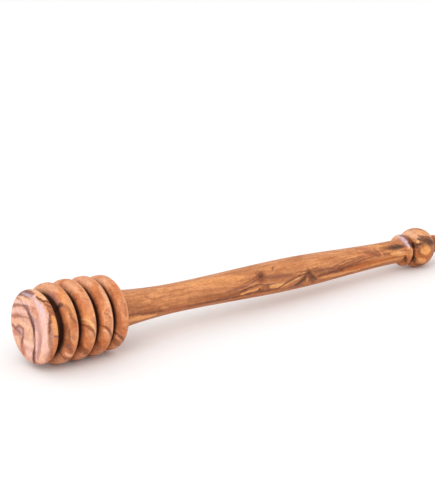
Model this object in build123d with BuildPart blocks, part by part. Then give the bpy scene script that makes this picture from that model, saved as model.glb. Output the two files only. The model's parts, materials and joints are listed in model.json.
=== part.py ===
from build123d import *
from math import asin, cos, degrees, hypot, sin
import os

# A honey dipper of two turned pieces of olive wood, in millimetres: a grooved head and a handle.
# The handle ends in a tenon, which is glued into a blind bore in the back of the head.
# The dipper lies on a table at Z 0, on one rim of its head and on its ball, which lies lower.
# X runs from the head towards the ball, and the origin is below the middle of the dipper's box.

# Head: five discs on a core
head_diameter = 27.0
core_diameter = 16.0
front_disc_thickness = 3.6
disc_thickness = 4.6
groove_width = 2.3
# From the front to the back, the discs follow a barrel, and the hand-cut grooves vary in width.
disc_diameter_shares = (0.919, 0.998, 1.0, 0.984, 0.931)
groove_width_shares = (1.22, 0.95, 1.0, 0.85)
# Roundings, as shares of the disc or the groove that carries them.
face_edge_share = 0.5
disc_edge_share = 0.4
groove_root_share = 0.3

# Joint: the handle's tenon in the head's bore
tenon_diameter = 9.0
tenon_length = 20.0
tenon_chamfer = 1.0
glue_gap = 0.1
glue_pocket = 1.0

# Handle: neck, waist, swell and wrist
neck_diameter = 13.9
waist_diameter = 10.0
swell_diameter = 11.5
wrist_diameter = 8.4
neck_length = 28.8
swell_rise_length = 45.0
swell_fall_length = 50.0
wrist_length = 2.7

# Handle's end: bead, cove, ball and button
bead_diameter = 11.5
bead_thickness = 2.7
cove_diameter = 8.0
cove_width = 1.1
ball_diameter = 14.1
ball_length = 13.4
button_diameter = 6.4
button_length = 4.4
# The ball would reach this far into the bead without the cove, and the button into the ball.
ball_sink = 1.1
button_sink = 0.3

# Stations along the dipper's axis, from the flat front face
thicknesses = [front_disc_thickness] + [disc_thickness] * len(groove_width_shares)
grooves = [groove_width * share for share in groove_width_shares]
disc_fronts = [sum(thicknesses[:n]) + sum(grooves[:n]) for n in range(len(thicknesses))]
disc_radii = [head_diameter / 2 * share for share in disc_diameter_shares]
head_length = sum(thicknesses) + sum(grooves)
waist_station = head_length + neck_length
swell_station = waist_station + swell_rise_length
wrist_station = swell_station + swell_fall_length
bead_front = wrist_station + wrist_length
bead_back = bead_front + bead_thickness
ball_centre = bead_back - ball_sink + ball_length / 2
button_centre = ball_centre + ball_length / 2 - button_sink + button_length / 2


def resting_tilt(disc_front, thickness, radius):
    """The slope at which a disc's rear edge and the ball touch the table together."""
    edge = disc_edge_share * thickness
    reach = ball_centre - (disc_front + thickness - edge)
    slope = 0
    for _ in range(12):
        drop = (radius - edge) * cos(slope) + edge
        ball_drop = hypot(ball_length / 2 * sin(slope), ball_diameter / 2 * cos(slope))
        slope = asin((drop - ball_drop) / reach)
    return slope


# The disc that needs the steepest slope is the one that touches the table.
tilt = max(resting_tilt(*disc) for disc in zip(disc_fronts, thicknesses, disc_radii))
face_edge = face_edge_share * front_disc_thickness
front_reach = face_edge * (1 - cos(tilt)) + (disc_radii[0] - face_edge) * sin(tilt)
back_reach = button_centre * cos(tilt) + hypot(
    button_length / 2 * cos(tilt), button_diameter / 2 * sin(tilt))
face_height = ball_centre * sin(tilt) + hypot(
    ball_length / 2 * sin(tilt), ball_diameter / 2 * cos(tilt))

# Half sections are drawn on this plane: its X is the station and its Y is the radius.
section_plane = Plane(
    origin=((front_reach - back_reach) / 2, 0, face_height),
    x_dir=(cos(tilt), 0, -sin(tilt)),
    z_dir=(0, -1, 0),
)
turning_axis = Axis(section_plane.origin, section_plane.x_dir)
corner = (Align.MIN, Align.MIN)

# Dipper head
head_outline = [(0, 0)]
head_roundings = []
for n, (disc_front, thickness, radius) in enumerate(zip(disc_fronts, thicknesses, disc_radii)):
    disc_back = disc_front + thickness
    head_outline += [(disc_front, radius), (disc_back, radius)]
    head_roundings += [face_edge if n == 0 else disc_edge_share * thickness, disc_edge_share * thickness]
    if n < len(grooves):
        head_outline += [(disc_back, core_diameter / 2), (disc_back + grooves[n], core_diameter / 2)]
        head_roundings += [groove_root_share * grooves[n]] * 2
head_outline += [(head_length, 0)]

with BuildPart() as dipper_head:
    with BuildSketch(section_plane):
        with BuildLine():
            FilletPolyline(*head_outline, radius=head_roundings)
            Line(head_outline[-1], head_outline[0])
        make_face()
    revolve(axis=turning_axis)
    # Blind bore for the tenon, with a pocket for spare glue at its end.
    bore_depth = tenon_length + glue_pocket
    with BuildSketch(section_plane):
        with Locations((head_length - bore_depth, 0)):
            Rectangle(bore_depth, tenon_diameter / 2 + glue_gap, align=corner)
    revolve(axis=turning_axis, mode=Mode.SUBTRACT)
dipper_head.part.label = "dipper_head"

# Handle
tenon_end = head_length - tenon_length
waist_radius = waist_diameter / 2
swell_radius = swell_diameter / 2
wrist_radius = wrist_diameter / 2
cove_radius = cove_diameter / 2
bead_crown = bead_thickness / 2
bead_shoulder = bead_diameter / 2 - bead_crown

with BuildPart() as handle:
    with BuildSketch(section_plane):
        with BuildLine():
            Polyline(
                (tenon_end, 0),
                (tenon_end, tenon_diameter / 2 - tenon_chamfer),
                (tenon_end + tenon_chamfer, tenon_diameter / 2),
                (head_length, tenon_diameter / 2),
                (head_length, neck_diameter / 2),
            )
            # The neck thins to the waist, the grip swells, and it thins again to the wrist.
            Bezier(
                (head_length, neck_diameter / 2),
                (head_length + neck_length / 2, waist_radius),
                (waist_station, waist_radius),
            )
            Bezier(
                (waist_station, waist_radius),
                (waist_station + swell_rise_length / 3, waist_radius),
                (swell_station - swell_rise_length / 3, swell_radius),
                (swell_station, swell_radius),
            )
            Bezier(
                (swell_station, swell_radius),
                (swell_station + swell_fall_length / 3, swell_radius),
                (wrist_station - swell_fall_length / 3, wrist_radius),
                (wrist_station, wrist_radius),
            )
            Polyline(
                (wrist_station, wrist_radius),
                (bead_front, wrist_radius),
                (bead_front, bead_shoulder),
            )
            ThreePointArc(
                (bead_front, bead_shoulder),
                (bead_front + bead_crown, bead_diameter / 2),
                (bead_back, bead_shoulder),
            )
            Polyline((bead_back, bead_shoulder), (bead_back, 0), (tenon_end, 0))
        make_face()
        with Locations((ball_centre, 0)):
            Ellipse(ball_length / 2, ball_diameter / 2)
        with Locations((button_centre, 0)):
            Ellipse(button_length / 2, button_diameter / 2)
        split(bisect_by=Plane.ZX, keep=Keep.TOP)
        # The cove parts the ball from the bead, down to the stem that carries the ball.
        with Locations((bead_back, 0)):
            Rectangle(cove_width, ball_diameter / 2, align=corner, mode=Mode.SUBTRACT)
            Rectangle(ball_centre - bead_back, cove_radius, align=corner)
    revolve(axis=turning_axis)
handle.part.label = "handle"

os.makedirs("parts", exist_ok=True)
export_step(dipper_head.part, "parts/dipper_head.step")
export_step(handle.part, "parts/handle.step")

overall_length = button_centre + button_length / 2
print(f"overall length {overall_length:.1f}, head {head_length:.1f} by {head_diameter:.1f}")
print(f"tilt {degrees(tilt):.2f} degrees, face height {face_height:.2f}")
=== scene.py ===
import json
from math import acos, asin, atan2, cos, hypot, pi, radians, sin

import bmesh
import bpy
from mathutils import Matrix, Vector, noise
from mathutils.geometry import interpolate_bezier


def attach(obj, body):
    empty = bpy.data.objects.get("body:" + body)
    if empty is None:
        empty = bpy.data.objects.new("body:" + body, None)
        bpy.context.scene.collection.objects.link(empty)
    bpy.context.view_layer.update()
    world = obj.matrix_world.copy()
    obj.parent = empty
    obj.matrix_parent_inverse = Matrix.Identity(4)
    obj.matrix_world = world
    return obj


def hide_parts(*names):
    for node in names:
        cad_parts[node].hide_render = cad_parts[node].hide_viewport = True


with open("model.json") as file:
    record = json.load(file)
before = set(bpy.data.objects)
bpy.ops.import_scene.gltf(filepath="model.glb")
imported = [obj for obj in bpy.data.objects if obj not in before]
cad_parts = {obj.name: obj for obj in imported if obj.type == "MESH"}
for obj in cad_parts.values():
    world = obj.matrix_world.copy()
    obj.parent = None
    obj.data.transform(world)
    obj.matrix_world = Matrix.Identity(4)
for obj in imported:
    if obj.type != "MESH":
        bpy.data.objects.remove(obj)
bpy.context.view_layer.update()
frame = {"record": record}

bl_info = {
    "name": "Olive wood honey dipper",
    "version": (1, 0, 0),
    "blender": (4, 5, 0),
    "location": "3D View > Sidebar > Dipper",
    "description": "Turns a honey dipper of olive wood and sets its table, lights and camera",
    "category": "Add Mesh",
}

MM = 0.001

# The dipper is turned along its own axis, from the middle of the flat front face backwards.
# Stations are counted along that axis, and angles from straight up towards the camera's side.
front_mount = frame["record"]["mounts"][0]
face_centre = Vector(front_mount["pos_m"])
turning_axis = -Vector(front_mount["axis"])
tilt = asin(-turning_axis.z)
lathe_to_table = Matrix.Translation(face_centre) @ Matrix.Rotation(tilt, 4, "Y")


def seen(red, green, blue):
    """A colour of the screen, 0 to 255, as the linear colour that Blender's sockets take."""
    return tuple(
        c / 12.92 if c <= 0.04045 else ((c + 0.055) / 1.055) ** 2.4
        for c in (red / 255, green / 255, blue / 255)
    )


# Settings

def length(name, default, description):
    return bpy.props.FloatProperty(
        name=name, description=description, default=default, min=0.0,
        unit="LENGTH", subtype="DISTANCE", precision=5,
    )


def colour(name, default, description):
    return bpy.props.FloatVectorProperty(
        name=name, description=description, default=default, size=3, min=0.0, max=1.0,
        subtype="COLOR",
    )


def share(name, default, description):
    return bpy.props.FloatProperty(
        name=name, description=description, default=default, min=0.0, soft_max=1.0,
        subtype="FACTOR",
    )


def power(name, default, description):
    return bpy.props.FloatProperty(
        name=name, description=description, default=default, min=0.0, unit="POWER")


def group_of(kind, name, description):
    return bpy.props.PointerProperty(type=kind, name=name, description=description)


class DIPPER_PG_head(bpy.types.PropertyGroup):
    """Sizes of the grooved head."""

    diameter: length("Diameter", 27.0 * MM, "Diameter of the widest disc")
    core: length("Core", 16.0 * MM, "Diameter of the core at the bottom of the grooves")
    front_disc: length("Front disc", 3.6 * MM, "Thickness of the front disc")
    disc: length("Disc", 4.6 * MM, "Thickness of the other discs")
    groove: length("Groove", 2.3 * MM, "Width of a groove, before its own share")
    face_edge: length("Face edge", 1.8 * MM, "Rounding between the front face and its rim")
    disc_edge: share("Disc edge", 0.4, "Rounding of a disc's edges, as a share of its thickness")
    groove_root: share("Groove root", 0.3, "Rounding at the bottom of a groove, as a share of it")
    bore: length("Bore", 9.2 * MM, "Diameter of the blind bore for the tenon")
    bore_depth: length("Bore depth", 21.0 * MM, "Depth of the blind bore")
    unevenness: length("Unevenness", 0.12 * MM, "How far hand sanding has left the rims uneven")


class DIPPER_PG_handle(bpy.types.PropertyGroup):
    """Sizes of the handle."""

    tenon: length("Tenon", 9.0 * MM, "Diameter of the tenon in the head")
    tenon_length: length("Tenon length", 20.0 * MM, "Length of the tenon")
    neck: length("Neck", 13.9 * MM, "Diameter where the handle meets the head")
    waist: length("Waist", 10.0 * MM, "Diameter of the waist behind the neck")
    swell: length("Swell", 11.5 * MM, "Diameter of the swell in the middle of the grip")
    wrist: length("Wrist", 8.4 * MM, "Diameter in front of the bead")
    bead: length("Bead", 11.5 * MM, "Diameter of the bead in front of the ball")
    cove: length("Cove", 8.0 * MM, "Diameter of the cove between the bead and the ball")
    ball: length("Ball", 14.1 * MM, "Diameter of the ball")
    ball_length: length("Ball length", 13.4 * MM, "Length of the ball along the axis")
    button: length("Button", 6.4 * MM, "Diameter of the button at the very end")
    button_length: length("Button length", 4.4 * MM, "Length of the button along the axis")
    unevenness: length("Unevenness", 0.08 * MM, "How far hand sanding has left the grip uneven")
    knot_pit: length("Knot pit", 0.18 * MM, "How deep the middle of a knot has sunk in")


class DIPPER_PG_wood(bpy.types.PropertyGroup):
    """Colours of the olive wood."""

    head_light: colour("Head light", seen(242, 182, 140), "Light wood of the head")
    head_warm: colour("Head warm", seen(226, 142, 88), "Warm wood of the head")
    head_brown: colour("Head brown", seen(176, 98, 56), "Brown bands of the head")
    handle_light: colour("Handle light", seen(230, 158, 104), "Light wood of the handle")
    handle_warm: colour("Handle warm", seen(206, 132, 78), "Warm wood of the handle")
    handle_brown: colour("Handle brown", seen(158, 90, 48), "Brown bands of the handle")
    dark: colour("Dark vein", seen(54, 26, 22), "Darkest veins and knot eyes")
    brown: colour("Brown vein", seen(118, 62, 36), "Brown veins")
    umber: colour("Umber vein", seen(104, 64, 70), "Purple-brown veins and clouds")
    mauve: colour("Mauve", seen(190, 144, 146), "Mauve bands")
    red: colour("Red brown", seen(194, 106, 76), "Red-brown patches")
    rust: colour("Rust", seen(184, 98, 40), "Deep orange-brown bands")
    # Pale also paints highlights: a patch low on the face, a spot on the front disc and a line
    # along each disc's rear edge.
    pale: colour("Pale", seen(248, 208, 172), "Pale sapwood")
    peach: colour("Peach", seen(250, 196, 156), "Light orange bands")
    blush: colour("Blush", seen(250, 204, 192), "Pinkish pale bands")
    amber: colour("Amber", seen(240, 166, 98), "Yellow-orange wood")
    straw: colour("Straw", seen(244, 188, 132), "Straw-coloured sapwood stripe")
    slate: colour("Slate", seen(68, 49, 42), "Grey-brown streaks by the knots and the ball")
    lilac: colour("Lilac", seen(222, 208, 224), "Bluish pale streak at the face's edge")
    # Painted shade: this colour darkens the grooves between the discs and the cove in front of the
    # ball.
    groove: colour("Groove", seen(58, 26, 16), "Unsanded wood in the grooves, dark with oil")


class DIPPER_PG_stage(bpy.types.PropertyGroup):
    """The table, the lights and the room."""

    table: colour("Table", (0.93, 0.93, 0.93), "Colour of the table")
    table_size: length("Table size", 6.0, "Side of the table, which reaches past the picture")
    key: power("Key light", 3.6, "Power of the large soft light on the left, in watts")
    fill: power("Fill light", 0.5, "Power of the soft light on the right, in watts")
    room: share("Room", 1.0, "Brightness of the white room")


class DIPPER_PG_settings(bpy.types.PropertyGroup):
    """All settings of the dipper."""

    head: group_of(DIPPER_PG_head, "Head", "Head sizes")
    handle: group_of(DIPPER_PG_handle, "Handle", "Handle sizes")
    wood: group_of(DIPPER_PG_wood, "Wood", "Wood colours")
    stage: group_of(DIPPER_PG_stage, "Stage", "Table, lights and room")


# Each disc's diameter as a share of the head's, and each groove's width as a share of the groove.
DISC_SHARES = (0.919, 0.998, 1.0, 0.984, 0.931)
GROOVE_SHARES = (1.22, 0.95, 1.0, 0.85)
# Disc by disc, how far its rim leans along the axis, and the angle at which it leans forwards.
DISC_LEANS = ((0.0, 0), (0.10 * MM, 60), (0.12 * MM, 200), (0.10 * MM, 150), (0.05 * MM, 300))
# This close to its two ends the head doesn't lean, so that it keeps its length.
END_MARGIN = 0.2 * MM
# Up to this share of the bore's radius, a point belongs to the bore, which stays true.
BORE_MARGIN = 1.02

# Lengths along the handle
NECK_LENGTH = 28.8 * MM
SWELL_RISE = 45.0 * MM
SWELL_FALL = 50.0 * MM
WRIST_LENGTH = 2.7 * MM
BEAD_THICKNESS = 2.7 * MM
COVE_WIDTH = 1.1 * MM
BALL_SINK = 1.1 * MM
BUTTON_SINK = 0.3 * MM
TENON_CHAMFER = 1.0 * MM
# The handle is sanded uneven from this far behind the head.
SANDED_FROM = 0.5 * MM

# How wide the broad and the narrow lumps of the sanded surface are, and how much each counts
HEAD_LUMPS = (6.5 * MM, 2.4 * MM)
HANDLE_LUMPS = (9.0 * MM, 3.0 * MM)
BROAD_SHARE, NARROW_SHARE = 0.7, 0.3

# Steps round each piece, and along the curves of its section
HEAD_STEPS = 256
HANDLE_STEPS = 192
CURVE_STEPS = 8
NECK_STEPS, RISE_STEPS, FALL_STEPS = 36, 56, 62
BEAD_STEPS, BALL_STEPS, BUTTON_STEPS = 14, 44, 16
# Halvings of the stretch where the ball's outline meets the button's
CROSSING_STEPS = 30
# Longest straight edge of each section
HEAD_EDGE = 0.9 * MM
HANDLE_EDGE = 0.5 * MM
# Vertices this close become one, and a vertex this close to the axis lies on it.
MERGE_DISTANCE = 0.002 * MM
ON_AXIS = 0.0001 * MM
# Faces that meet at more than this angle keep a sharp edge.
SHARP_EDGE = radians(38)


# Turning: a half section is drawn as a wire, X along the axis and Z away from it, and spun.

def draw_wire(bm, points):
    """Joins the points with edges and returns their vertices."""
    verts = [bm.verts.new((station, 0, radius)) for station, radius in points]
    for first, second in zip(verts, verts[1:]):
        bm.edges.new((first, second))
    return verts


def round_corner(bm, corner, radius):
    bmesh.ops.bevel(
        bm, geom=[corner], affect="VERTICES", offset=radius, segments=CURVE_STEPS,
        profile=0.5, material=-1,
    )


def split_long_edges(bm, longest):
    """Gives the wire enough points for the sanded unevenness to show."""
    for edge in list(bm.edges):
        cuts = int(edge.calc_length() / longest)
        if cuts:
            bmesh.ops.subdivide_edges(bm, edges=[edge], cuts=cuts)


def bow_of(centre, half, radius, start, end, steps, lift=0.0):
    """Points of an ellipse about a station, from one angle to another, lifted off the axis."""
    turns = (start + (end - start) * n / steps for n in range(steps + 1))
    return [(centre - half * cos(turn), lift + radius * sin(turn)) for turn in turns]


def lumps(place, broad, narrow):
    """Slow and quick unevenness of a hand-sanded surface, from about 0 to 1."""
    lump = noise.noise(place / broad) * BROAD_SHARE + noise.noise(place / narrow) * NARROW_SHARE
    return 0.5 + 0.5 * lump


def spin_solid(bm, steps):
    """Spins the wire into a closed skin whose faces point outwards."""
    bmesh.ops.spin(
        bm, geom=bm.verts[:] + bm.edges[:], cent=(0, 0, 0), axis=(1, 0, 0),
        angle=2 * pi, steps=steps, use_merge=True,
    )
    bmesh.ops.remove_doubles(bm, verts=bm.verts[:], dist=MERGE_DISTANCE)
    bmesh.ops.recalc_face_normals(bm, faces=bm.faces[:])


def angle_of(point):
    """Angle about the axis, from straight up towards the camera's side."""
    return atan2(-point.y, point.z)


def push_in(vert, amount):
    """Moves a vertex towards the axis."""
    away = Vector((0, vert.co.y, vert.co.z))
    if away.length > ON_AXIS:
        vert.co -= away.normalized() * amount


def finish_piece(bm, name, node, material):
    """Makes the piece from its bmesh, in its place on the table, standing for its CAD node."""
    for edge in bm.edges:
        if len(edge.link_faces) == 2:
            edge.smooth = edge.calc_face_angle() < SHARP_EDGE
    for face in bm.faces:
        face.smooth = True
    bmesh.ops.transform(bm, matrix=lathe_to_table, verts=bm.verts[:])
    mesh = bpy.data.meshes.new(name)
    bm.to_mesh(mesh)
    bm.free()
    piece = bpy.data.objects.new(name, mesh)
    bpy.context.scene.collection.objects.link(piece)
    mesh.materials.append(material)
    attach(piece, "root")
    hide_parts(node)


# Nodes

class Bench:
    """Lays nodes out on a tree, and links or sets their inputs."""

    ROWS = 10
    COLUMN_WIDTH = 240
    ROW_HEIGHT = 200

    def __init__(self, tree):
        self.tree = tree
        self.laid = 0

    def node(self, kind, inputs=(), **settings):
        node = self.tree.nodes.new(kind)
        column, row = divmod(self.laid, self.ROWS)
        node.location = (column * self.COLUMN_WIDTH, -row * self.ROW_HEIGHT)
        self.laid += 1
        for name, value in settings.items():
            setattr(node, name, value)
        pairs = inputs.items() if isinstance(inputs, dict) else enumerate(inputs)
        for key, value in pairs:
            if isinstance(value, bpy.types.NodeSocket):
                self.tree.links.new(value, node.inputs[key])
            else:
                node.inputs[key].default_value = value
        return node

    def math(self, operation, *values):
        return self.node("ShaderNodeMath", values, operation=operation).outputs[0]

    def plus(self, first, second):
        return self.math("ADD", first, second)

    def minus(self, first, second):
        return self.math("SUBTRACT", first, second)

    def times(self, first, second):
        return self.math("MULTIPLY", first, second)

    def vector(self, operation, *values):
        node = self.node("ShaderNodeVectorMath", values, operation=operation)
        scalar = operation in {"DOT_PRODUCT", "LENGTH"}
        return node.outputs["Value" if scalar else "Vector"]

    def scaled(self, vector, factor):
        node = self.node(
            "ShaderNodeVectorMath", {"Vector": vector, "Scale": factor}, operation="SCALE")
        return node.outputs["Vector"]

    def join(self, x=0.0, y=0.0, z=0.0):
        return self.node("ShaderNodeCombineXYZ", (x, y, z)).outputs[0]

    def parts(self, vector):
        return self.node("ShaderNodeSeparateXYZ", (vector,)).outputs

    def ramp(self, value, low, high, to_low=0.0, to_high=1.0, smooth=True):
        return self.node(
            "ShaderNodeMapRange", (value, low, high, to_low, to_high),
            interpolation_type="SMOOTHSTEP" if smooth else "LINEAR", clamp=False,
        ).outputs[0]

    def noise(self, vector, scale, detail=2.0, rough=0.5, distortion=0.0):
        """The noise's value and its colour."""
        node = self.node(
            "ShaderNodeTexNoise",
            {"Vector": vector, "Scale": scale, "Detail": detail, "Roughness": rough,
             "Distortion": distortion},
        )
        return node.outputs[0], node.outputs[1]

    def layers(self, value, scale, detail):
        """Uneven layers along one value."""
        node = self.node(
            "ShaderNodeTexNoise", {"W": value, "Scale": scale, "Detail": detail},
            noise_dimensions="1D")
        return node.outputs[0]

    def mix(self, factor, under, over):
        inputs = {0: factor, 6: under, 7: over}
        return self.node("ShaderNodeMix", inputs, data_type="RGBA").outputs[2]

    def tint(self, under, tone, mask, strength=None):
        """Lays a tone over a colour where the mask says, at a share of its strength."""
        factor = mask if strength is None else self.times(mask, strength)
        return self.mix(factor, under, opaque(tone))


def opaque(rgb):
    return (*rgb, 1.0)


# The groups' sockets that carry vectors; all others carry single values.
VECTOR_SOCKETS = {
    "Place", "Chart", "Face chart", "Wrap chart", "Centre", "From", "Along", "Across", "Pith",
    "Stretch", "Grain",
}
group_drawings = {}


def draws_group(name, inputs, outputs):
    """Keeps a function as the one that lays out the shared group of this name."""
    def keep(draw):
        group_drawings[name] = (inputs, outputs, draw)
        return draw
    return keep


def build_group(name):
    """Makes a node group's sockets and lays out its nodes between them."""
    inputs, outputs, draw = group_drawings[name]
    tree = bpy.data.node_groups.new(name, "ShaderNodeTree")
    for in_out, sockets in (("INPUT", inputs), ("OUTPUT", outputs)):
        for socket in sockets:
            kind = "NodeSocketVector" if socket in VECTOR_SOCKETS else "NodeSocketFloat"
            tree.interface.new_socket(name=socket, in_out=in_out, socket_type=kind)
    b = Bench(tree)
    results = draw(b, b.node("NodeGroupInput").outputs)
    b.node("NodeGroupOutput", dict(zip(outputs, results)))
    return tree


def shared_group(bench, name, **inputs):
    """The outputs of a shared group's node; the group is built when it is first asked for."""
    tree = bpy.data.node_groups.get(name) or build_group(name)
    return bench.node("ShaderNodeGroup", inputs, node_tree=tree).outputs


@draws_group("Dipper place", ("Place", "Girth"),
             ("Station", "Radius", "Angle", "Face chart", "Wrap chart"))
def place_nodes(b, given):
    """Where a point lies on the turned dipper, in millimetres and degrees."""
    station, back, up = b.parts(given["Place"])
    side = b.times(back, -1.0)
    radius = b.vector("LENGTH", b.join(0.0, side, up))
    angle = b.math("DEGREES", b.math("ARCTAN2", side, up))
    wrap = b.join(station, b.times(angle, given["Girth"]), 0.0)
    return station, radius, angle, b.join(side, up, 0.0), wrap


# The middle value of a noise's colour
GREY = (0.5, 0.5, 0.5)


@draws_group("Grain waver", ("Chart", "Coarse", "Fine"), ("Chart",))
def waver_nodes(b, given):
    """Lets a chart's lines waver, coarsely and finely, as grain does."""
    coarse = b.vector("SUBTRACT", b.noise(given["Chart"], 0.3, 1.0)[1], GREY)
    fine = b.vector("SUBTRACT", b.noise(given["Chart"], 1.3, 3.0, 0.6)[1], GREY)
    moved = b.vector("ADD", given["Chart"], b.scaled(coarse, given["Coarse"]))
    return [b.vector("ADD", moved, b.scaled(fine, given["Fine"]))]


# How far from a knot, in millimetres, the grain still bends round it
KNOT_REACH = 3.2


@draws_group("Grain round a knot", ("Chart", "Centre", "Push"), ("Chart",))
def parting_nodes(b, given):
    """Parts the grain's lines round a knot, up on one side of it and down on the other."""
    x, y, _ = b.parts(b.vector("SUBTRACT", given["Chart"], given["Centre"]))
    near = b.vector("LENGTH", b.join(b.times(x, 0.5), y, 0.0))
    near = b.ramp(b.math("MINIMUM", near, KNOT_REACH), 0.0, KNOT_REACH, 1.0, 0.0)
    side = b.math("DIVIDE", y, b.plus(b.math("ABSOLUTE", y), 0.4))
    push = b.times(b.times(side, near), given["Push"])
    return [b.vector("SUBTRACT", given["Chart"], b.join(0.0, push, 0.0))]


@draws_group("Wood knot", ("Chart", "Centre", "Size"), ("Eye", "Body", "Rings", "Halo"))
def knot_nodes(b, given):
    """A knot's dark eye, its brown body, its rings and the halo round it."""
    offset = b.vector("SUBTRACT", given["Chart"], given["Centre"])
    ragged = b.minus(b.noise(given["Chart"], 1.1, 3.0, 0.6)[0], 0.5)
    out = b.math("DIVIDE", b.vector("LENGTH", offset), given["Size"])
    out = b.plus(out, b.times(ragged, 1.6))
    halo = b.ramp(out, 0.9, 2.0, 1.0, 0.0)
    rings = b.times(b.ramp(b.layers(out, 3.2, 1.0), 0.44, 0.6), halo)
    return b.ramp(out, 0.2, 0.9, 1.0, 0.0), b.ramp(out, 0.8, 1.5, 1.0, 0.0), rings, halo


# A mark's width at its ends, as a share of its width in the middle
MARK_TIP = 0.55


@draws_group(
    "Wood mark",
    ("Chart", "From", "Along", "Across", "Reach", "Bend", "Width", "Core", "Strength"), ("Mask",))
def mark_nodes(b, given):
    """The mask of one bent stroke between two points of a chart."""
    offset = b.vector("SUBTRACT", given["Chart"], given["From"])
    travel = b.math("DIVIDE", b.vector("DOT_PRODUCT", offset, given["Along"]), given["Reach"])
    inside = b.math("MINIMUM", b.math("MAXIMUM", travel, 0.0), 1.0)
    beyond = b.times(b.minus(travel, inside), given["Reach"])
    hump = b.times(b.times(inside, b.minus(1.0, inside)), 4.0)
    lift = b.minus(b.vector("DOT_PRODUCT", offset, given["Across"]), b.times(hump, given["Bend"]))
    distance = b.vector("LENGTH", b.join(lift, beyond, 0.0))
    width = b.times(given["Width"], b.ramp(hump, 0.0, 1.0, MARK_TIP, 1.0, smooth=False))
    return [b.ramp(b.math("DIVIDE", distance, width), given["Core"], 1.0, given["Strength"], 0.0)]


@draws_group(
    "Olive figure", ("Place", "Pith", "Stretch", "Wander", "Seed"), ("Band", "Layer", "Line"))
def figure_nodes(b, given):
    """The olive's own figure: uneven growth layers about a wandering pith."""
    grain = b.vector("MULTIPLY", given["Place"], given["Stretch"])
    grain = b.vector("ADD", grain, b.join(given["Seed"], 0.0, 0.0))
    bow = b.vector("SUBTRACT", b.noise(grain, 0.11, 2.0, 0.45)[1], GREY)
    bent = b.vector("ADD", b.vector("SUBTRACT", given["Place"], given["Pith"]),
                    b.scaled(bow, given["Wander"]))
    out = b.vector("LENGTH", b.vector("MULTIPLY", bent, (0.0, 1.0, 0.8)))
    out = b.plus(out, b.times(b.minus(b.noise(grain, 0.9)[0], 0.5), 0.9))
    out = b.plus(out, given["Seed"])
    level = b.math("ABSOLUTE", b.minus(b.layers(out, 0.42, 0.5), 0.5))
    thin = b.ramp(level, 0.0, 0.035, 1.0, 0.0)
    gate = b.ramp(b.noise(grain, 0.16)[0], 0.46, 0.6)
    band = b.ramp(b.layers(out, 0.33, 1.0), 0.3, 0.7)
    return band, b.layers(out, 1.9, 2.0), b.times(thin, gate)


@draws_group("Olive fibres", ("Place", "Grain", "Pull"),
             ("Streak", "Fibre", "Pore", "Cloud", "Fleck", "Glint"))
def fibre_nodes(b, given):
    """What shows along the grain: streaks, fibres, pores, flecks and soft clouds of tone."""
    along = b.vector("DOT_PRODUCT", given["Place"], given["Grain"])

    def pulled(shrink):
        """The place with its way along the grain shrunk, so that a noise there is drawn out."""
        squeeze = b.times(along, b.minus(shrink, 1.0))
        return b.vector("ADD", given["Place"], b.scaled(given["Grain"], squeeze))

    streak = b.noise(pulled(b.times(given["Pull"], 0.5)), 0.85, 3.0, 0.6, 0.4)[0]
    fibre = b.noise(pulled(given["Pull"]), 3.2, 3.0, 0.6)[0]
    pore = b.noise(pulled(given["Pull"]), 4.2, 1.0)[0]
    cloud = b.noise(b.vector("MULTIPLY", given["Place"], (0.35, 1.0, 1.0)), 0.22, 3.0, 0.55)[0]
    mottle = b.noise(pulled(0.6), 0.95, 3.0, 0.7, 0.6)[0]
    return (b.ramp(streak, 0.38, 0.64), fibre, b.ramp(pore, 0.58, 0.68), cloud,
            b.ramp(mottle, 0.5, 0.64), b.ramp(mottle, 0.5, 0.36))


@draws_group("Turning marks", ("Station", "Radius"), ("Rings",))
def turning_nodes(b, given):
    """Faint rings that the turning tool and the sandpaper left round the piece."""
    return [b.layers(b.plus(given["Station"], given["Radius"]), 3.4, 3.0)]
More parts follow.
